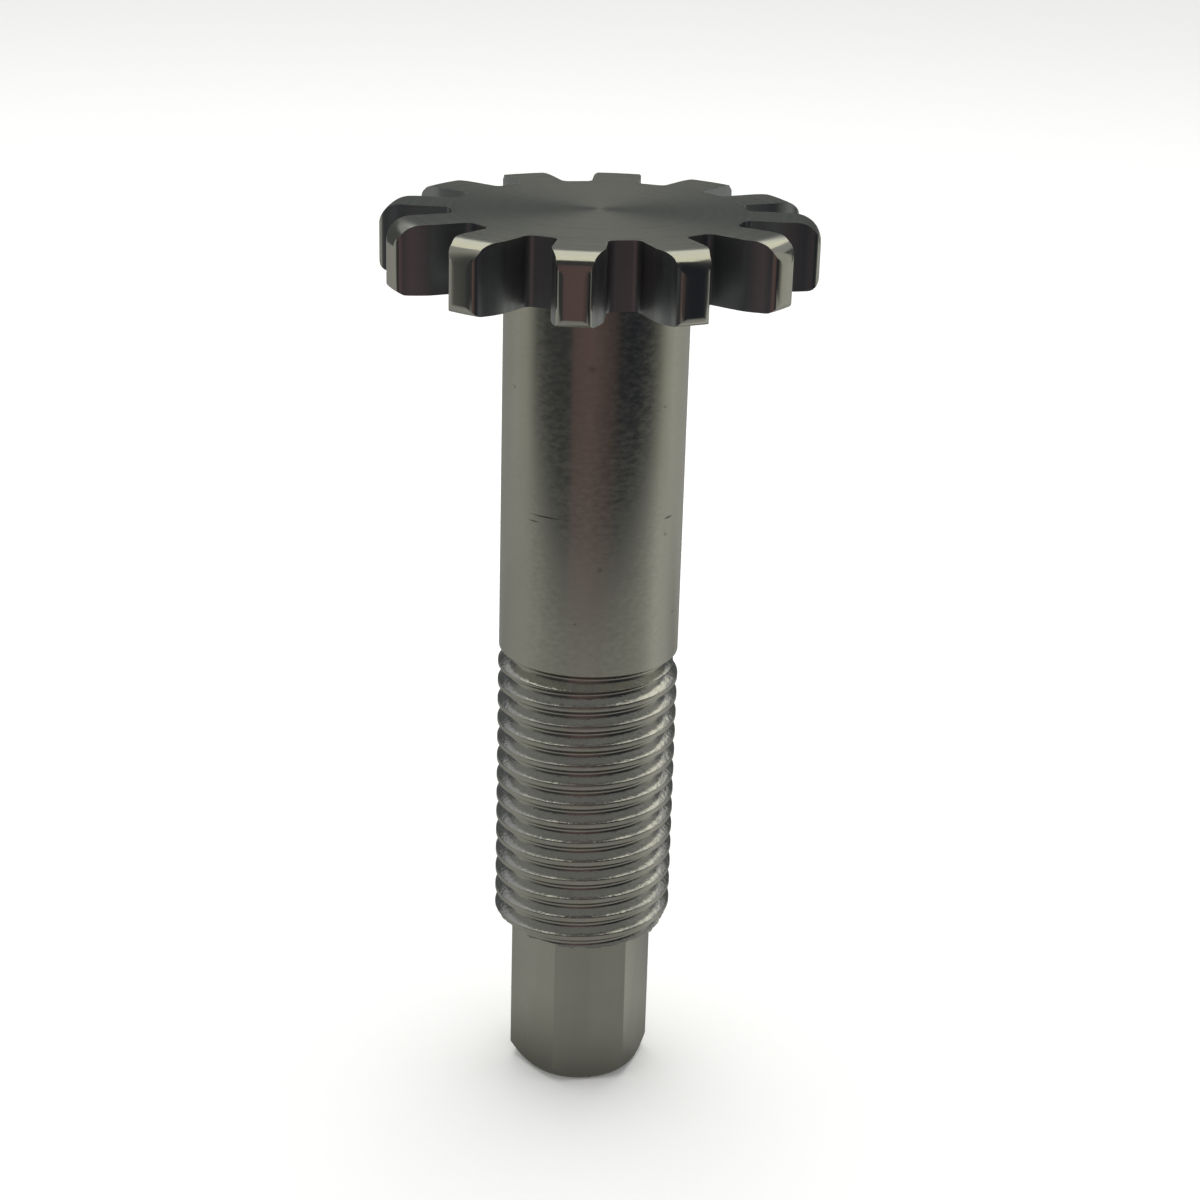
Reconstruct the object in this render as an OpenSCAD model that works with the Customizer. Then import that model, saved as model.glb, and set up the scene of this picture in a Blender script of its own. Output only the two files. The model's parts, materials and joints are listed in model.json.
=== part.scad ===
// Threaded stud with a toothed pinion head and a hexagonal drive end, turned and milled from one bar.
// The axis is Z, and the stud stands on the flat end of its hexagon at Z = 0. Lengths are in millimetres.

/* [Hexagon] */
// Width of the hexagon across its flats
hex_af = 7.7; // [6:0.1:8.5]
// Length of the hexagon, from the end face to the thread
hex_len = 9.3; // [5:0.1:20]
// How far the flat end face stays inside the flats
hex_end_inset = 0.35; // [0.1:0.05:1.5]
// Height of the end chamfer at the corners
hex_chamfer = 1.05; // [0.4:0.05:2]
// Turn of the hexagon about the axis, in degrees
hex_turn = 10; // [0:1:60]

/* [Thread] */
// Outside diameter of the thread
thread_d = 11; // [10.5:0.05:14]
// Distance from one thread to the next
thread_pitch = 1.27; // [1:0.01:1.5]
// Length of the threaded part, with its end chamfer
thread_len = 19; // [8:0.1:30]
// Depth of the groove between two threads
thread_depth = 0.36; // [0.2:0.01:0.6]
// Included angle of the groove, in degrees
thread_angle = 60; // [50:1:62]
// Width of the groove at its root
thread_root_w = 0.1; // [0.05:0.01:0.3]
// Rise of the rounded crest above its own edges
crest_rise = 0.1; // [0.02:0.01:0.15]
// Radial size of the chamfer at the free end of the thread
thread_chamfer = 0.95; // [0.7:0.05:1.5]
// Height of that chamfer
thread_chamfer_h = 1.5; // [0.8:0.05:2.5]
// Height of the turned relief between the thread and the shank
relief_h = 0.3; // [0.25:0.05:1]
// Turn of the thread about the axis, in degrees
thread_turn = 267; // [0:1:360]

/* [Shank] */
// How much smaller the shank is than the thread, on the diameter
shank_undersize = 0.1; // [0.05:0.05:0.4]
// Length of the plain shank, from the thread to the head
shank_len = 22.8; // [8:0.1:60]

/* [Head] */
// Diameter over the tips of the teeth
head_d = 25.4; // [22:0.1:36]
// Diameter at the floors of the slots between the teeth
root_d = 17.05; // [15:0.05:18]
// Thickness of the head
head_t = 3.95; // [2.5:0.05:8]
// Number of teeth
teeth = 12; // [10:1:14]
// Pressure angle of the teeth, in degrees
pressure_angle = 14.5; // [14.5:0.5:20]
// Width of a slot at its floor
slot_floor_w = 1.75; // [1.2:0.05:2.2]
// Radius that rounds the rim of the head above
rim_top_r = 0.95; // [0.3:0.05:1.1]
// Radius that rounds the rim of the head below
rim_bottom_r = 0.6; // [0.3:0.05:1.1]
// Radius that rounds the corners of a tooth tip, seen from above
tip_corner_r = 0.42; // [0.1:0.01:0.45]
// Turn of the teeth about the axis, in degrees
tooth_turn = -5.4; // [-15:0.1:15]

/* [Hidden] */
$fn = 96;
steel = [0.42, 0.42, 0.40];

// How far one form runs into the next, so that they join as one solid
joint_depth = 0.6;
// Room that keeps the turned rim just outside the milled tips
rim_room = 0.02;
// Least height of the straight foot of a tooth flank
flank_foot_h = 0.3;
// Where the rounded edge of a thread crest ends, as a share of half the crest
crest_edge_share = 0.3;
// How much of the rise of a crest is still to come there, as a share
crest_edge_fall = 0.25;

hex_corner_r = hex_af / 2 / cos(30);
hex_end_r = hex_af / 2 - hex_end_inset;
shank_r = (thread_d - shank_undersize) / 2;

thread_z = hex_len;
shank_z = thread_z + thread_len;
head_z = shank_z + shank_len;

// Involute tooth form, from the tip diameter and the number of teeth
tooth_module = head_d / (teeth + 2);
pitch_r = tooth_module * teeth / 2;
tip_r = head_d / 2;
root_r = root_d / 2;
base_r = pitch_r * cos(pressure_angle);
flank_foot_r = max(base_r, root_r + flank_foot_h);
flank_steps = 6;
corner_steps = 3;

function involute(angle) = tan(angle) * 180 / PI - angle;
function tooth_half_angle(r) =
    90 / teeth + involute(pressure_angle) - involute(acos(min(1, base_r / r)));
function polar(r, angle) = [r * cos(angle), r * sin(angle)];

floor_half_angle = asin(slot_floor_w / 2 / root_r);
corner_foot_r = tip_r - tip_corner_r;
corner_half_angle = tooth_half_angle(corner_foot_r);
corner_turn = tip_corner_r / tip_r * 180 / PI;

// Half of one tooth as [radius, angle from its middle], from the slot floor to the tip
half_tooth = concat(
    [[root_r, 180 / teeth - floor_half_angle]],
    [for (i = [0 : flank_steps])
        let (r = flank_foot_r + (corner_foot_r - flank_foot_r) * i / flank_steps) [r, tooth_half_angle(r)]],
    [for (i = [1 : corner_steps])
        let (a = 90 * i / corner_steps)
        [corner_foot_r + tip_corner_r * sin(a), corner_half_angle - corner_turn * (1 - cos(a))]]
);
half_count = len(half_tooth);

// Thread form as [share of the pitch, radius], from the groove below a crest to the groove above it
crest_r = thread_d / 2;
groove_r = crest_r - thread_depth;
root_share = thread_root_w / 2 / thread_pitch;
flank_share = (thread_depth - crest_rise) * tan(thread_angle / 2) / thread_pitch;
edge_share = root_share + flank_share;
shoulder_share = edge_share + (0.5 - edge_share) * crest_edge_share;
shoulder_r = crest_r - crest_rise * crest_edge_fall;
thread_form = [
    [root_share, groove_r],
    [edge_share, crest_r - crest_rise],
    [shoulder_share, shoulder_r],
    [0.5, crest_r],
    [1 - shoulder_share, shoulder_r],
    [1 - edge_share, crest_r - crest_rise],
    [1 - root_share, groove_r]
];
form_count = len(thread_form);
thread_sides = 40;
sides = [0 : thread_sides - 1];
thread_end_r = crest_r - thread_chamfer;
relief_z = thread_len - relief_h;
turn_count = ceil(relief_z / thread_pitch) + 3;
row_count = turn_count * form_count;
rows = [0 : row_count - 1];

// Largest radius that the end chamfer and the relief leave at a height above the thread's free end
function chamfer_r(z) = thread_end_r + (thread_chamfer + crest_rise) * z / thread_chamfer_h;
function relief_r(z) = groove_r + (relief_z - z) / tan(thread_angle / 2);

// Rows of points climb with the angle: the first starts below the free end, and the last ends above the relief
function row_z(row, side) =
    thread_pitch * (floor(row / form_count) + thread_form[row % form_count][0] + side / thread_sides - 2);
function thread_point(row, side) =
    let (
        z = max(0, min(relief_z, row_z(row, side))),
        r = min(thread_form[row % form_count][1], chamfer_r(z), relief_r(z))
    )
    concat(polar(r, 360 * side / thread_sides), z);

// Lowest and highest row that count on each side of the thread
first_rows = [for (side = sides) max([for (row = rows) if (row_z(row, side) <= 0) row])];
last_rows = [for (side = sides) min([for (row = rows) if (row_z(row, side) >= relief_z) row])];
function point_id(row, side) = max(first_rows[side], min(last_rows[side], row)) * thread_sides + side;

module tooth_outline() {
    polygon([
        for (k = [0 : teeth - 1])
            let (middle = 360 * k / teeth + tooth_turn)
            each concat(
                [for (i = [0 : half_count - 1]) polar(half_tooth[i][0], middle - half_tooth[i][1])],
                [for (i = [half_count - 1 : -1 : 0]) polar(half_tooth[i][0], middle + half_tooth[i][1])]
            )
    ]);
}

// Disc with its rim rounded above and below, before the slots are milled
module turned_disc() {
    rim_r = tip_r + rim_room;
    rotate_extrude() {
        difference() {
            square([rim_r, head_t]);
            translate([rim_r - rim_top_r, head_t - rim_top_r])
                difference() {
                    square(rim_top_r * 2);
                    circle(r = rim_top_r);
                }
            translate([rim_r - rim_bottom_r, rim_bottom_r])
                difference() {
                    translate([0, -rim_bottom_r * 2]) square(rim_bottom_r * 2);
                    circle(r = rim_bottom_r);
                }
        }
    }
}

module toothed_head() {
    intersection() {
        turned_disc();
        translate([0, 0, -joint_depth])
            linear_extrude(head_t + joint_depth * 2) tooth_outline();
    }
}

// The lower edge of the shank falls into the relief with the slope of a thread
module shank() {
    top = shank_len + joint_depth;
    foot_r = groove_r - joint_depth;
    foot = -(shank_r - foot_r) * tan(thread_angle / 2);
    rotate_extrude()
        polygon([[0, foot], [foot_r, foot], [shank_r, 0], [shank_r, top], [0, top]]);
}

// Right-hand helix: the last side meets the first one a whole pitch higher
module thread() {
    neck_id = row_count * thread_sides;
    points = concat(
        [for (row = rows) for (side = sides) thread_point(row, side)],
        [for (side = sides) concat(polar(groove_r, 360 * side / thread_sides), thread_len + joint_depth)]
    );
    skin = [
        for (row = [0 : row_count - 2])
            for (side = sides)
                let (
                    next = (side + 1) % thread_sides,
                    climb = next == 0 ? form_count : 0,
                    low = point_id(row, side),
                    high = point_id(row + 1, side),
                    next_low = point_id(row + climb, next),
                    next_high = point_id(row + 1 + climb, next)
                )
                each [
                    if (low != high) [low, high, next_high],
                    if (next_low != next_high) [low, next_high, next_low]
                ]
    ];
    neck = [
        for (side = sides)
            let (next = (side + 1) % thread_sides)
            [point_id(row_count, side), neck_id + side, neck_id + next, point_id(row_count, next)]
    ];
    free_end = [for (side = sides) point_id(0, side)];
    neck_end = [for (side = [thread_sides - 1 : -1 : 0]) neck_id + side];
    polyhedron(points, concat(skin, neck, [free_end, neck_end]));
}

module hexagon() {
    height = hex_len + joint_depth;
    cone_r = hex_end_r + (hex_corner_r - hex_end_r) * height / hex_chamfer;
    intersection() {
        rotate(hex_turn) linear_extrude(height) circle(r = hex_corner_r, $fn = 6);
        rotate_extrude() polygon([[0, 0], [hex_end_r, 0], [cone_r, height], [0, height]]);
    }
}

module stud() {
    color(steel) {
        hexagon();
        translate([0, 0, thread_z]) rotate(thread_turn) thread();
        translate([0, 0, shank_z]) shank();
        translate([0, 0, head_z]) toothed_head();
    }
}

stud();
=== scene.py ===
import json
import math

import bmesh
import bpy
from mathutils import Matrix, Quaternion, Vector


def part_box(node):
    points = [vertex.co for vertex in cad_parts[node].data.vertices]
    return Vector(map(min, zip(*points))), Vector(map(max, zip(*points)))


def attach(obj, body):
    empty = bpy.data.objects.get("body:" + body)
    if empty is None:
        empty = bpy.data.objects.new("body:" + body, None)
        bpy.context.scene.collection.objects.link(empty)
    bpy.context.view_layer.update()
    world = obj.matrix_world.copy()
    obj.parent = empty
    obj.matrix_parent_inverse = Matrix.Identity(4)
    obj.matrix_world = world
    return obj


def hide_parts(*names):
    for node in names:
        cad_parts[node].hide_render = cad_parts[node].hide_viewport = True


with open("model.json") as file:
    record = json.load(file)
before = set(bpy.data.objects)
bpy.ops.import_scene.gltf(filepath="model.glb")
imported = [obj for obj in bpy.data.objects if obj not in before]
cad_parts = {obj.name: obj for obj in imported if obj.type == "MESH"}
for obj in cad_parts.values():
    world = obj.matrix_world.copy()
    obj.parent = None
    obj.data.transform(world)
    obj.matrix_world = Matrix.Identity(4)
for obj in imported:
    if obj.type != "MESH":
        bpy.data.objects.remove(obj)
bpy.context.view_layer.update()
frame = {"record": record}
mm = 0.001
weld = 0.0005  # mm, points this close become one
touch = 0.004  # mm, points this near a place count as on it
barSides = 128
sizes = {mount["name"]: mount["dims"] for mount in frame["record"]["mounts"]}  # radii and lengths in mm
hexTopZ = sizes["hex_drive"]["length_mm"]
threadTopZ = hexTopZ + sizes["thread"]["length_mm"]
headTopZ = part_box("stud")[1].z / mm
headLowZ = headTopZ - sizes["teeth"]["length_mm"]
print("frame loaded, stud is", round(headTopZ, 2), "mm tall")


def clearSelection():
    if bpy.context.object and bpy.context.object.mode != "OBJECT":
        bpy.ops.object.mode_set(mode="OBJECT")
    bpy.ops.object.select_all(action="DESELECT")


def selectPart(part):  # this part alone
    clearSelection()
    part.select_set(True)
    bpy.context.view_layer.objects.active = part


def openPart(part):
    selectPart(part)
    bpy.ops.object.mode_set(mode="EDIT")


def pick(part, level, test):  # selects what passes the test, in edit mode
    bpy.ops.mesh.select_mode(type=level)
    bpy.ops.mesh.select_all(action="DESELECT")
    mesh = bmesh.from_edit_mesh(part.data)
    items = {"VERT": mesh.verts, "EDGE": mesh.edges, "FACE": mesh.faces}[level]
    for item in items:
        if test(item):
            item.select_set(True)
    mesh.select_flush(True)
    bmesh.update_edit_mesh(part.data)


def startPart(name):  # names the new primitive, puts its place into its mesh and opens it
    part = bpy.context.object
    part.name = part.data.name = name
    bpy.ops.object.transform_apply(location=True, rotation=True, scale=True)
    bpy.ops.object.mode_set(mode="EDIT")
    return part


def closePart(part, merge=0.0):
    bpy.ops.mesh.select_mode(type="VERT")
    bpy.ops.mesh.select_all(action="SELECT")
    if merge:
        bpy.ops.mesh.remove_doubles(threshold=merge * mm)
    bpy.ops.mesh.normals_make_consistent(inside=False)
    bpy.ops.object.mode_set(mode="OBJECT")
    return part


def turnPart(name, outline):  # a lathe: one ring is extruded up along (radius, height) in mm
    clearSelection()
    lastR, lastZ = outline[0]
    bpy.ops.mesh.primitive_circle_add(
        vertices=barSides, radius=lastR * mm, fill_type="NGON", location=(0, 0, lastZ * mm))
    part = startPart(name)
    bpy.ops.mesh.select_mode(type="FACE")
    bpy.ops.mesh.select_all(action="SELECT")
    for r, z in outline[1:]:
        bpy.ops.mesh.extrude_region_move(TRANSFORM_OT_translate={"value": (0, 0, (z - lastZ) * mm)})
        if r != lastR:
            bpy.ops.transform.resize(value=(r / lastR, r / lastR, 1), center_override=(0, 0, z * mm))
        lastR, lastZ = r, z
    return closePart(part)


def combine(part, other, way):  # boolean with the other part, which is used up
    selectPart(part)
    bpy.ops.object.modifier_add(type="BOOLEAN")
    cut = part.modifiers[-1]
    cut.operation = way
    cut.solver = "EXACT"
    cut.object = other
    bpy.ops.object.modifier_apply(modifier=cut.name)
    bpy.data.objects.remove(other)
    return part


# toothed head, one tooth laid flat along +X and copied round
head = {
    "teeth": 12,
    "tipR": sizes["teeth"]["r_mm"],
    "rootR": 8.525,
    "pressure": 14.5,  # degrees
    "floorWide": 1.75,
    "floorRoom": 0.02,
    "rimTop": 1.4,  # turned rounding above and below
    "rimUnder": 0.6,
    "tipCorner": 0.6,
    "slotCorner": 0.4,
    "flankRows": [9.4, 9.9, 10.8, 11.05],  # radii
    "turn": -5.4,  # degrees, a tooth nearly faces the camera
    "across": 8,  # faces over one tooth
}
pitchR = head["tipR"] * head["teeth"] / (head["teeth"] + 2)
baseR = pitchR * math.cos(math.radians(head["pressure"]))
halfPitch = math.pi / head["teeth"]


def involute(angle):
    return math.tan(angle) - angle


def halfTooth(r):  # half angle of a tooth at this radius
    foot = halfPitch - math.asin(head["floorWide"] / 2 / head["rootR"])
    if r <= baseR:  # straight foot below the base circle, its corner rounded
        top = halfPitch / 2 + involute(math.radians(head["pressure"]))
        corner = head["slotCorner"]
        short = max(0, corner - (r - head["rootR"]))
        half = foot + (top - foot) * (r - head["rootR"]) / (baseR - head["rootR"])
        return half + (corner - math.sqrt(corner * corner - short * short)) / r
    cornerFoot = head["tipR"] - head["tipCorner"]
    low = min(r, cornerFoot)
    half = halfPitch / 2 + involute(math.radians(head["pressure"])) - involute(math.acos(baseR / low))
    if r > cornerFoot:
        rise = min(1.0, (r - cornerFoot) / head["tipCorner"])
        half -= head["tipCorner"] / head["tipR"] * (1 - math.sqrt(1 - rise * rise))
    return half


rimRows = [head["tipR"] - head["rimTop"] * (1 - math.sin(math.radians(a))) for a in range(0, 91, 9)]
slotRows = [head["rootR"] + head["slotCorner"] * (1 - math.cos(math.radians(a))) for a in range(0, 91, 15)]
toothRows = slotRows + sorted(head["flankRows"] + [baseR]) + rimRows
lastRow = len(toothRows) - 1
gridNear = 1e-4
aside = 3  # rows that are done wait here, clear of the grid
clearSelection()
bpy.ops.mesh.primitive_grid_add(x_subdivisions=lastRow, y_subdivisions=head["across"], size=2)
toothed = startPart("toothedHead")
for i, r in enumerate(toothRows):
    for j in range(head["across"] + 1):
        atX = -1 + 2 * i / lastRow
        atY = -1 + 2 * j / head["across"]
        pick(toothed, "VERT", lambda v: (v.co - Vector((atX, atY, 0))).length < gridNear)
        turned = atY * halfTooth(r)
        toX, toY = r * math.cos(turned) * mm, r * math.sin(turned) * mm
        bpy.ops.transform.translate(value=(toX + aside - atX, toY - atY, 0))
bpy.ops.mesh.select_all(action="SELECT")
bpy.ops.transform.translate(value=(-aside, 0, headTopZ * mm))
bpy.ops.mesh.spin(steps=head["teeth"], dupli=True, angle=2 * math.pi, center=(0, 0, 0), axis=(0, 0, 1))
bpy.ops.mesh.select_all(action="SELECT")
bpy.ops.mesh.remove_doubles(threshold=touch * mm)


def radiusOf(co):
    return math.hypot(co.x, co.y) / mm


def onRoot(v):
    return abs(radiusOf(v.co) - head["rootR"]) < touch


floorReach = head["floorWide"] / 2 - head["slotCorner"] + head["floorRoom"]
for k in range(head["teeth"]):  # slot floors close the ring
    middle = (k + 0.5) * 2 * halfPitch
    spot = Vector((head["rootR"] * math.cos(middle), head["rootR"] * math.sin(middle), headTopZ)) * mm
    pick(toothed, "VERT", lambda v: onRoot(v) and (v.co - spot).length < floorReach * mm)
    bpy.ops.mesh.edge_face_add()
pick(toothed, "EDGE", lambda e: all(onRoot(v) for v in e.verts))
bpy.ops.mesh.edge_face_add()
bpy.ops.mesh.select_all(action="SELECT")
bpy.ops.mesh.extrude_region_move(TRANSFORM_OT_translate={"value": (0, 0, (headLowZ - headTopZ) * mm)})
for r in rimRows[1:]:  # rows of the rim drop above and rise below
    for z, rim, way in ((headTopZ, head["rimTop"], -1), (headLowZ, head["rimUnder"], 1)):
        into = r - (head["tipR"] - rim)
        if into <= 0:
            continue
        drop = rim - math.sqrt(max(0, rim * rim - into * into))
        pick(toothed, "VERT", lambda v: abs(radiusOf(v.co) - r) < touch and abs(v.co.z / mm - z) < touch)
        bpy.ops.transform.translate(value=(0, 0, way * drop * mm))
bpy.ops.mesh.select_all(action="SELECT")
bpy.ops.transform.rotate(value=-math.radians(head["turn"]), orient_axis="Z", center_override=(0, 0, 0))
closePart(toothed, weld)
print("head done,", len(toothed.data.polygons), "faces")

# thread with 60 degrees between its flanks, one pitch of its section swept up a right-hand helix
thread = {
    "pitch": 1.27,
    "depth": 0.64,
    "slope": 60,  # degrees from the axis to a flank
    "rootFlat": 0.04,  # half the flat at the root
    "rootCurve": 0.14,
    "crestFrom": 0.525,  # where the flat of the crest begins
    "crestCurve": 0.06,
    "flankRows": [(0.1785, 0.54), (0.36, 0.225)],  # these hold a flank straight
    "turn": 318,  # degrees
    "steps": 96,
    "turnsBelow": 2,  # whole turns that are cut off again
    "turnsSpare": 5,
    "spareLow": 0.7,  # room for the lathe's cuts at both ends
    "spareHigh": 1.0,
    "clear": 0.3,
    "ringZ": 27.87,  # turned relief under the shank, a little deeper than the groove
    "ringCut": 1.05,
    "ringRoom": 0.8,
    "ringLip": 0.01,
    "neckIn": 0.04,
    "endR": 5.05,  # end chamfer
    "endZ": 10.15,
    "endHeight": 0.65,
    "burr": 0.07,
    "bury": 0.6,
}
crestR = sizes["thread"]["r_mm"]
grooveR = crestR - thread["depth"]


def grooveForm():  # half a groove as (distance from its middle, depth), round at the root and at the crest
    bends = [math.radians(a) for a in range(0, thread["slope"] + 1, 20)]
    root = [(thread["rootFlat"] + thread["rootCurve"] * math.sin(a),
             thread["depth"] - thread["rootCurve"] * (1 - math.cos(a))) for a in bends]
    crest = [(thread["crestFrom"] - thread["crestCurve"] * math.sin(a),
              thread["crestCurve"] * (1 - math.cos(a))) for a in reversed(bends)]
    rows = [(0, thread["depth"])] + root + thread["flankRows"] + crest + [(thread["pitch"] / 2, 0)]
    return [(round(up, 4), round(deep, 4)) for up, deep in rows]


form = grooveForm()
section = [(up, crestR - deep) for up, deep in form]
section += [(thread["pitch"] - up, r) for up, r in section[-2::-1]]
startZ = hexTopZ - thread["pitch"] * (thread["turn"] / 360 + thread["turnsBelow"])
clearSelection()
bpy.ops.mesh.primitive_plane_add(size=mm)
threadPart = startPart("thread")
bpy.ops.mesh.merge(type="CENTER")
bpy.ops.transform.translate(value=(section[0][1] * mm, 0, (startZ + section[0][0]) * mm))
for (lastUp, lastR), (up, r) in zip(section, section[1:]):
    step = ((r - lastR) * mm, 0, (up - lastUp) * mm)
    bpy.ops.mesh.extrude_region_move(TRANSFORM_OT_translate={"value": step})
bpy.ops.object.mode_set(mode="OBJECT")
bpy.ops.object.modifier_add(type="SCREW")
helix = threadPart.modifiers[-1]
helix.axis = "Z"
helix.screw_offset = thread["pitch"] * mm
helix.iterations = math.ceil(sizes["thread"]["length_mm"] / thread["pitch"]) + thread["turnsSpare"]
helix.steps = helix.render_steps = thread["steps"]
bpy.ops.object.modifier_apply(modifier=helix.name)
openPart(threadPart)
bpy.ops.mesh.select_all(action="SELECT")
bpy.ops.mesh.remove_doubles(threshold=touch * mm)
for z, low in ((hexTopZ - thread["spareLow"], True), (threadTopZ + thread["spareHigh"], False)):
    bpy.ops.mesh.select_all(action="SELECT")
    bpy.ops.mesh.bisect(
        plane_co=(0, 0, z * mm), plane_no=(0, 0, 1), use_fill=True, clear_inner=low, clear_outer=not low,
        threshold=1e-7)  # its own default is 0.1 mm
closePart(threadPart)
clearR = crestR + thread["clear"]
chamferRise = (crestR - thread["endR"]) / thread["endHeight"]
blank = turnPart("threadBlank", [
    (thread["endR"], thread["endZ"]),
    (clearR, thread["endZ"] + (clearR - thread["endR"]) / chamferRise),
    (clearR, thread["ringZ"] - thread["ringRoom"]),
    (crestR + thread["ringLip"], thread["ringZ"] - thread["pitch"] / 2),
] + [(crestR - thread["ringCut"] * deep, thread["ringZ"] - up) for up, deep in form[-2::-1]] + [
    (grooveR - thread["neckIn"], threadTopZ + thread["bury"]),
])
openPart(blank)
pick(blank, "VERT", lambda v: abs(v.co.z / mm - thread["endZ"]) < touch)
bpy.ops.transform.vertex_random(  # ragged end of the cut
    offset=thread["burr"] * mm, uniform=0.5, normal=0.0, seed=4)
bpy.ops.object.mode_set(mode="OBJECT")
combine(threadPart, blank, "INTERSECT")
print("thread done,", len(threadPart.data.polygons), "faces")

# plain turned shank, its lower edge falls into the relief like the side of a groove
shank = {"footR": 4.5, "footDrop": 0.05, "bury": 0.5}
shankR = sizes["shank"]["r_mm"]
shankPart = turnPart("shank", [(shank["footR"], thread["ringZ"] - shank["footDrop"])] + [
    (shankR - deep, thread["ringZ"] + up) for up, deep in form[:-1]
] + [(shankR, headLowZ + shank["bury"])])
print("shank done")

# hexagon for a spanner, its end faced and chamfered on the lathe
hexagon = {
    "acrossFlats": 7.7,
    "turn": 10,  # degrees
    "edge": 0.07,
    "endR": 3.55,  # end chamfer
    "chamfer": 0.95,
    "clearR": 5.2,
    "spare": 0.5,  # faced off again
    "bury": 1.4,
}
cornerR = hexagon["acrossFlats"] / 2 / math.cos(math.pi / 6)
hexHeight = hexTopZ + hexagon["bury"] + hexagon["spare"]
clearSelection()
bpy.ops.mesh.primitive_cylinder_add(
    vertices=6, radius=cornerR * mm, depth=hexHeight * mm,
    location=(0, 0, (hexHeight / 2 - hexagon["spare"]) * mm),
    rotation=(0, 0, math.radians(hexagon["turn"] - 90)))
hexPart = startPart("hexagon")
pick(hexPart, "EDGE", lambda e: abs(e.verts[0].co.z - e.verts[1].co.z) > mm)
bpy.ops.mesh.bevel(offset=hexagon["edge"] * mm, segments=2, affect="EDGES")
closePart(hexPart)
endRise = (cornerR - hexagon["endR"]) / hexagon["chamfer"]
hexBlank = turnPart("hexBlank", [
    (hexagon["endR"], 0),
    (hexagon["clearR"], (hexagon["clearR"] - hexagon["endR"]) / endRise),
    (hexagon["clearR"], hexHeight + hexagon["spare"]),
])
combine(hexPart, hexBlank, "INTERSECT")
print("hexagon done")

# one piece of bar
smoothBelow = 40  # degrees between two faces
stud = combine(shankPart, toothed, "UNION")
combine(stud, threadPart, "UNION")
combine(stud, hexPart, "UNION")
stud.name = stud.data.name = "steelStud"
openPart(stud)
closePart(stud, weld)
selectPart(stud)
bpy.ops.object.shade_smooth_by_angle(angle=math.radians(smoothBelow))
print("stud joined,", len(stud.data.polygons), "faces")


def linear(hexText):  # sRGB hex to linear colour
    values = [int(hexText[i:i + 2], 16) / 255 for i in (1, 3, 5)]
    return tuple(v / 12.92 if v <= 0.04045 else ((v + 0.055) / 1.055) ** 2.4 for v in values) + (1.0,)


def addNode(tree, kind, settings, links=()):  # settings by name, links as (socket, node, output)
    node = tree.nodes.new(kind)
    for key, value in settings.items():
        if isinstance(key, int) or key in node.inputs:
            node.inputs[key].default_value = value
        else:
            setattr(node, key, value)
    for socket, source, output in links:
        tree.links.new(source.outputs[output], node.inputs[socket])
    return node


def newMaterial(name):
    material = bpy.data.materials.new(name)
    material.use_nodes = True
    material.node_tree.nodes.clear()
    return material, material.node_tree


# bare steel, each surface with the marks of the tool that made it; the slots carry painted shade and the
# thread flanks painted light
scuffColour = "#474440"
finishes = {
    "shank": {  # turned and handled: fine broken marks that blur reflections along it, a few dark scuffs
        "name": "turned steel", "light": "#c9c8bb", "dark": "#b9b8ae", "smooth": 0.14, "rough": 0.28,
        "marks": (2200, 2200, 4200), "depth": 0.0006, "stretch": 0.6, "cloud": 220,
        "scuffs": [  # place and half size in mm, strength
            ((-2.68, -4.75, 38.0), (1.3, 1.3, 0.06), 0.95), ((-3.3, -4.3, 37.6), (0.5, 0.5, 0.05), 0.9),
            ((4.49, -3.08, 37.65), (0.5, 0.5, 0.09), 0.95), ((0.59, -5.42, 35.07), (0.2, 0.3, 0.2), 0.35),
            ((-0.17, -5.45, 47.04), (0.35, 0.4, 0.25), 0.3), ((4.07, -3.63, 44.48), (0.13, 0.2, 0.1), 0.5),
            ((-4.6, -2.93, 45.23), (0.1, 0.2, 0.15), 0.5), ((4.35, -3.28, 36.66), (0.15, 0.2, 0.12), 0.5),
            ((4.97, -2.23, 31.45), (0.2, 0.25, 0.1), 0.5), ((-0.79, -5.39, 31.65), (0.12, 0.2, 0.12), 0.4)]},
    "top": {  # faced: uneven rings round the centre, in mm apart, which fan the light out from it
        "name": "faced steel", "light": "#c2c3bf", "dark": "#b8b9b5", "smooth": 0.2, "rough": 0.25,
        "rings": 0.25, "depth": 0.0005, "stretch": 0.6, "cloud": 400},
    "teeth": {  # milled: smooth faces that mirror their surroundings in bands
        "name": "milled steel", "light": "#c6c5bc", "dark": "#b8b8af", "smooth": 0.1, "rough": 0.17,
        "marks": (2500, 2500, 60), "depth": 0.0004, "stretch": 0.0, "cloud": 500},
    "slots": {  # milled, with painted shade: a darker, rougher copy of the teeth's steel, as the slots swallow the light between them
        "name": "oiled milled steel", "light": "#abaeb0", "dark": "#999c9e", "smooth": 0.32, "rough": 0.42,
        "marks": (2500, 2500, 60), "depth": 0.0004, "stretch": 0.0, "cloud": 500},
    "flanks": {  # painted light: a brighter copy of the thread steel on the flanks, so they hand more light from one flank to the other, with a torn grain that breaks the glints
        "name": "burnished thread steel", "light": "#d6d6d3", "dark": "#c4c4c1", "smooth": 0.12,
        "rough": 0.22, "marks": (3500, 3500, 6000), "depth": 0.026, "stretch": 0.0, "cloud": 900},
    "thread": {  # cut crests and roots: a finer grain, which leaves their dark and light lines sharp
        "name": "cut thread steel", "light": "#cbc9be", "dark": "#b0afa6", "smooth": 0.16, "rough": 0.26,
        "marks": (2500, 2500, 6000), "depth": 0.005, "stretch": 0.0, "cloud": 900},
    "hexagon": {  # drawn bar: even satin with small pits
        "name": "drawn hexagon steel", "light": "#c6c5b9", "dark": "#b9b8ae", "smooth": 0.26, "rough": 0.36,
        "marks": (900, 900, 60), "depth": 0.001, "stretch": 0.2, "cloud": 300},
}


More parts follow.
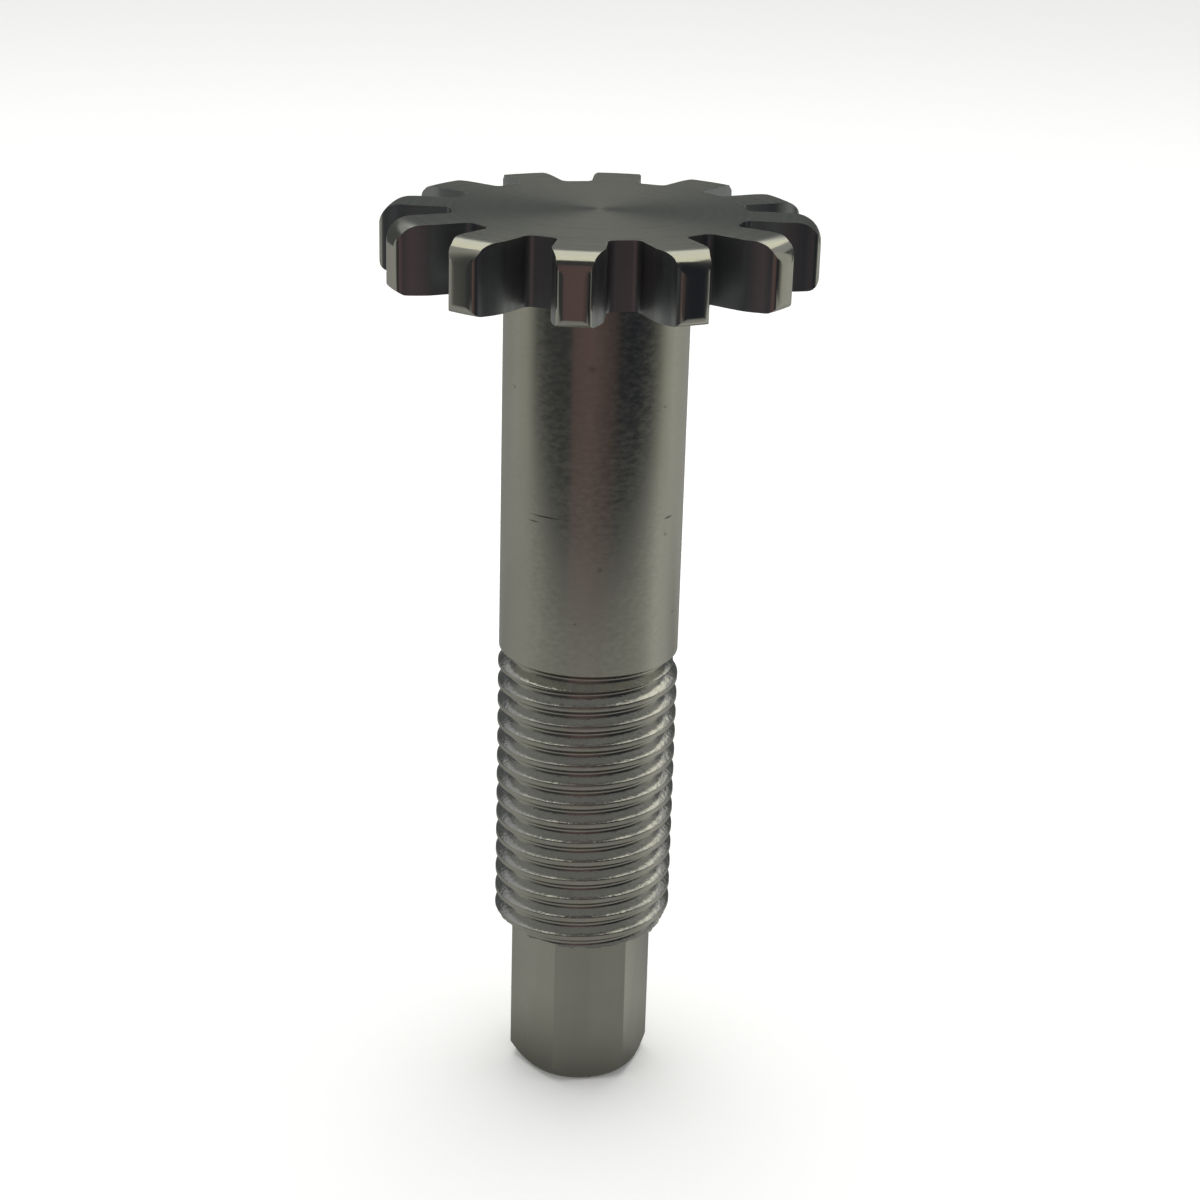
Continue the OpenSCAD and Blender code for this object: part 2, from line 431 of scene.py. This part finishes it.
def steelMaterial(finish):
    material, tree = newMaterial(finish["name"])
    coords = addNode(tree, "ShaderNodeTexCoord", {})
    if "rings" in finish:
        flat = addNode(tree, "ShaderNodeVectorMath", {
            "operation": "MULTIPLY", 1: (1, 1, 0)}, [(0, coords, "Object")])
        away = addNode(tree, "ShaderNodeVectorMath", {"operation": "LENGTH"}, [(0, flat, "Vector")])
        marks = addNode(tree, "ShaderNodeTexNoise", {
            "noise_dimensions": "1D", "Scale": 1 / (finish["rings"] * mm), "Detail": 2.0},
            [("W", away, "Value")])
    else:
        lines = addNode(tree, "ShaderNodeMapping", {
            "Scale": finish["marks"]}, [("Vector", coords, "Object")])
        marks = addNode(tree, "ShaderNodeTexNoise", {
            "Scale": 1.0, "Detail": 3.0}, [("Vector", lines, "Vector")])
    cloud = addNode(tree, "ShaderNodeTexNoise", {
        "Scale": finish["cloud"], "Detail": 6.0, "Roughness": 0.6}, [("Vector", coords, "Object")])
    tone = addNode(tree, "ShaderNodeMix", {
        "data_type": "RGBA", 6: linear(finish["dark"]), 7: linear(finish["light"])}, [(0, cloud, "Fac")])
    for place, half, strength in finish.get("scuffs", []):
        spot = addNode(tree, "ShaderNodeMapping", {
            "vector_type": "TEXTURE", "Location": Vector(place) * mm, "Scale": Vector(half) * mm},
            [("Vector", coords, "Object")])
        reach = addNode(tree, "ShaderNodeVectorMath", {"operation": "LENGTH"}, [(0, spot, "Vector")])
        fade = addNode(tree, "ShaderNodeMapRange", {
            "From Min": 0.2, "From Max": 1.0, "To Min": strength, "To Max": 0.0}, [("Value", reach, "Value")])
        tone = addNode(tree, "ShaderNodeMix", {
            "data_type": "RGBA", 7: linear(scuffColour)}, [(0, fade, "Result"), (6, tone, 2)])
    grip = addNode(tree, "ShaderNodeMapRange", {
        "From Min": 0.3, "From Max": 0.7, "To Min": finish["smooth"], "To Max": finish["rough"]},
        [("Value", marks, "Fac")])
    bump = addNode(tree, "ShaderNodeBump", {
        "Strength": 1.0, "Distance": finish["depth"] * mm}, [("Height", marks, "Fac")])
    around = addNode(tree, "ShaderNodeTangent", {"direction_type": "RADIAL", "axis": "Z"})
    shader = addNode(tree, "ShaderNodeBsdfPrincipled", {
        "Metallic": 1.0, "Anisotropic": finish["stretch"], "Anisotropic Rotation": 0.25},
        [("Base Color", tone, 2), ("Roughness", grip, "Result"), ("Normal", bump, "Normal"),
         ("Tangent", around, "Tangent")])
    addNode(tree, "ShaderNodeOutputMaterial", {}, [("Surface", shader, "BSDF")])
    return material


for finish in finishes.values():
    stud.data.materials.append(steelMaterial(finish))

facing = {"top": 0.9, "upright": 0.1, "tip": 0.5, "flank": 0.75}  # shares of a face's normal
slotR = 9.5


def zoneOf(face):
    centre = face.calc_center_median() / mm
    lean = abs(face.normal.z)
    if centre.z > headLowZ - touch:
        if face.normal.z > facing["top"]:
            return "top"
        fromAxis = math.hypot(centre.x, centre.y)
        outward = (face.normal.x * centre.x + face.normal.y * centre.y) / fromAxis
        inSlot = outward < facing["tip"] or fromAxis < slotR
        # upright faces turned sideways or deep in the slots take the slot steel with painted shade
        return "slots" if lean < facing["upright"] and inSlot else "teeth"
    if centre.z > thread["ringZ"]:
        return "shank"
    if centre.z > hexTopZ + touch:
        # the thread's steep flank faces take the flank steel with painted light
        return "flanks" if lean > facing["flank"] else "thread"
    return "hexagon"


openPart(stud)
for index, zone in enumerate(finishes):
    pick(stud, "FACE", lambda f: zoneOf(f) == zone)
    stud.active_material_index = index
    bpy.ops.object.material_slot_assign()
bpy.ops.object.mode_set(mode="OBJECT")
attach(stud, "root")
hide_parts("stud")
print("steel finishes on")

# pale floor and soft studio light
studio = {
    "floor": "#f4f4f2", "floorSize": 8, "sky": "#ffffff", "world": 0.9,
    "topLight": 0.8, "topSize": (0.3, 0.3), "topAt": (0, 0.1, 0.4)}
clearSelection()
bpy.ops.mesh.primitive_plane_add(size=studio["floorSize"])
floor = bpy.context.object
floor.name = floor.data.name = "floor"
material, tree = newMaterial("matt paper")  # even and dull, with a faint fibre
coords = addNode(tree, "ShaderNodeTexCoord", {})
fibre = addNode(tree, "ShaderNodeTexNoise", {"Scale": 900.0, "Detail": 4.0}, [("Vector", coords, "Object")])
bump = addNode(tree, "ShaderNodeBump", {"Strength": 0.1, "Distance": 0.05 * mm}, [("Height", fibre, "Fac")])
shader = addNode(tree, "ShaderNodeBsdfPrincipled", {
    "Base Color": linear(studio["floor"]), "Roughness": 0.9, "Specular IOR Level": 0.2},
    [("Normal", bump, "Normal")])
addNode(tree, "ShaderNodeOutputMaterial", {}, [("Surface", shader, "BSDF")])
floor.data.materials.append(material)

world = bpy.data.worlds.new("studio")
bpy.context.scene.world = world
world.use_nodes = True
world.node_tree.nodes["Background"].inputs["Color"].default_value = linear(studio["sky"])
world.node_tree.nodes["Background"].inputs["Strength"].default_value = studio["world"]
bpy.context.scene.view_settings.view_transform = "Standard"

bpy.ops.object.light_add(type="AREA", location=studio["topAt"])
topLight = bpy.context.object
topLight.name = "topLight"
topLight.data.shape = "RECTANGLE"
topLight.data.size, topLight.data.size_y = studio["topSize"]
topLight.data.energy = studio["topLight"]
topLight.visible_glossy = False  # the steel mirrors the roof card in its place
print("floor and light done")

# surroundings that only the steel mirrors: a dark front with a warm middle, pale sides, lights above
farStops = [  # degrees from the front to the right, colour
    (-178, "#b5b5b1"), (-150, "#c6c6c2"), (-112, "#e1e1db"), (-88, "#dadad2"), (-68, "#7d7e7b"),
    (-50, "#55585b"), (-30, "#57595b"), (-25, "#827173"), (-5, "#8c7978"), (10, "#796a6a"), (24, "#655c5a"),
    (31, "#494a51"), (52, "#40434c"), (68, "#595a5f"), (80, "#91918b"), (95, "#dcdcd1"), (112, "#f9f9f1"),
    (150, "#deded9"), (178, "#b5b5b1")]
nearStops = [
    (-178, "#b3b3b0"), (-140, "#bcbcb9"), (-112, "#d4d4d1"), (-85, "#dbdbd7"), (-66, "#d4d4ce"),
    (-50, "#c9c9c5"), (-35, "#c6c6c2"), (-20, "#c6c6c2"), (30, "#c8c8c4"), (56, "#c8c8c3"), (73, "#d8d8d3"),
    (93, "#fffff9"), (112, "#f1f1ed"), (140, "#b9b9b5"), (178, "#b3b3b0")]
wallStops = [  # what the head mirrors, dark a little further round
    (-112, "#e1e1db"), (-91, "#dadad2"), (-74, "#7a7b78"), (-58, "#55585b"), (-30, "#57595b"),
    (-25, "#877173"), (-5, "#917978"), (10, "#7d6a6a"), (24, "#685c5a"), (31, "#44464d"), (52, "#393c45"),
    (71, "#56575b"), (83, "#91918b"), (96, "#dcdcd1"), (112, "#f9f9f1")]
rounds = {  # cards round the stud, in m and degrees from the front
    "wall": {"radius": 0.13, "high": 0.26, "from": -112, "to": 112, "stops": wallStops, "glow": 0.5},
    "back": {"radius": 0.5, "high": 0.25, "from": 112, "to": 248, "stops": [(0, "#7f8382")], "glow": 0.4},
}
ground = {  # a pale oval, with a painted shadow right under the stud
    "radius": 0.5, "lift": 0.05 * mm, "near": 0.045, "far": 0.09, "oval": (0.6, 1, 1), "glow": 0.5,
    "shadeFrom": 0.0045, "shadeTo": 0.011, "shade": 0.4}
overhead = {  # flat cards above, each from one corner to the other
    "roof": {"low": (-0.2, -0.03), "high": (0.26, 0.45), "at": 0.3, "stops": [(0, "#fffdea")], "glow": 1.04},
    "ceiling": {
        "low": (-0.2, -0.2), "high": (0.2, -0.03), "at": 0.299, "stops": [(0, "#696b6b")], "glow": 0.4},
}
dome = {"radius": 0.7, "stops": [(0, "#ffffff")], "glow": 0.36}
cardSides = 180


def glowCard(name, stops, glow, under=None):  # colours by the angle round the stud
    material, tree = newMaterial(name)
    coords = addNode(tree, "ShaderNodeTexCoord", {})
    parts = addNode(tree, "ShaderNodeSeparateXYZ", {}, [("Vector", coords, "Object")])
    front = addNode(tree, "ShaderNodeMath", {"operation": "MULTIPLY", 1: -1.0}, [(0, parts, "Y")])
    angle = addNode(tree, "ShaderNodeMath", {"operation": "ARCTAN2"}, [(0, parts, "X"), (1, front, "Value")])
    share = addNode(tree, "ShaderNodeMapRange", {
        "From Min": -math.pi, "From Max": math.pi}, [("Value", angle, "Value")])
    ramps = []
    for row in [stops, under] if under else [stops]:
        ramp = addNode(tree, "ShaderNodeValToRGB", {}, [("Fac", share, "Result")])
        for turned, colour in row:
            stop = ramp.color_ramp.elements.new(0.5 + turned / 360)
            stop.color = linear(colour)
        ramp.color_ramp.elements.remove(ramp.color_ramp.elements[0])
        ramp.color_ramp.elements.remove(ramp.color_ramp.elements[-1])
        ramps.append(ramp)
    shine = addNode(tree, "ShaderNodeEmission", {"Strength": glow}, [("Color", ramps[0], "Color")])
    if under:  # these colours near the stud
        oval = addNode(tree, "ShaderNodeVectorMath", {
            "operation": "MULTIPLY", 1: ground["oval"]}, [(0, coords, "Object")])
        reach = addNode(tree, "ShaderNodeVectorMath", {"operation": "LENGTH"}, [(0, oval, "Vector")])
        fade = addNode(tree, "ShaderNodeMapRange", {
            "interpolation_type": "SMOOTHSTEP", "From Min": ground["near"], "From Max": ground["far"]},
            [("Value", reach, "Value")])
        blend = addNode(tree, "ShaderNodeMix", {"data_type": "RGBA"},
                        [(0, fade, "Result"), (6, ramps[1], "Color"), (7, ramps[0], "Color")])
        # painted shadow: the card dims right round the stud, where the floor lies in its shade
        away = addNode(tree, "ShaderNodeVectorMath", {"operation": "LENGTH"}, [(0, coords, "Object")])
        shade = addNode(tree, "ShaderNodeMapRange", {
            "From Min": ground["shadeFrom"], "From Max": ground["shadeTo"],
            "To Min": ground["shade"] * glow, "To Max": glow}, [("Value", away, "Value")])
        shine = addNode(tree, "ShaderNodeEmission", {}, [("Color", blend, 2), ("Strength", shade, "Result")])
    addNode(tree, "ShaderNodeOutputMaterial", {}, [("Surface", shine, "Emission")])
    return material


def hangCard(name, stops, glow, under=None, test=None):  # the new primitive, where the test holds, as a card
    sheet = startPart(name + "Card")
    if test:
        pick(sheet, "FACE", lambda f: not test(f))
        bpy.ops.mesh.delete(type="FACE")
    bpy.ops.object.mode_set(mode="OBJECT")
    sheet.data.materials.append(glowCard(name + " card", stops, glow, under))
    sheet.visible_camera = sheet.visible_diffuse = sheet.visible_shadow = False
    return sheet


def inSpan(face, card):  # is the face between the card's two ends
    centre = face.calc_center_median()
    turned = math.degrees(math.atan2(centre.x, -centre.y))
    return any(card["from"] <= turned + whole <= card["to"] for whole in (0, 360))


for name, card in rounds.items():
    clearSelection()
    bpy.ops.mesh.primitive_cylinder_add(
        vertices=cardSides, radius=card["radius"], depth=card["high"], end_fill_type="NOTHING",
        location=(0, 0, card["high"] / 2))
    hangCard(name, card["stops"], card["glow"], test=lambda f: inSpan(f, card))
clearSelection()
bpy.ops.mesh.primitive_circle_add(
    vertices=cardSides, radius=ground["radius"], fill_type="TRIFAN", location=(0, 0, ground["lift"]))
hangCard("ground", farStops, ground["glow"], under=nearStops)
for name, card in overhead.items():
    clearSelection()
    low, high = Vector(card["low"]), Vector(card["high"])
    bpy.ops.mesh.primitive_plane_add(size=1, location=(*((low + high) / 2), card["at"]))
    bpy.context.object.scale = (*(high - low), 1)
    hangCard(name, card["stops"], card["glow"])
clearSelection()
bpy.ops.mesh.primitive_uv_sphere_add(segments=48, ring_count=24, radius=dome["radius"])
hangCard("dome", dome["stops"], dome["glow"])
print("cards hung")

# camera where the photograph was taken from
view = {"at": (0.639, -136.595, 82.139), "aim": (0.639, 0, 31.21), "roll": 1.596, "lens": 72.15}
bpy.ops.object.camera_add(location=Vector(view["at"]) * mm)
camera = bpy.context.object
look = (Vector(view["aim"]) - Vector(view["at"])).to_track_quat("-Z", "Y")
camera.rotation_mode = "QUATERNION"
camera.rotation_quaternion = look @ Quaternion((0, 0, 1), math.radians(view["roll"]))
camera.data.lens = view["lens"]
camera.data.sensor_width = 36
camera.data.clip_start = 0.005
bpy.context.scene.camera = camera
print("camera set")
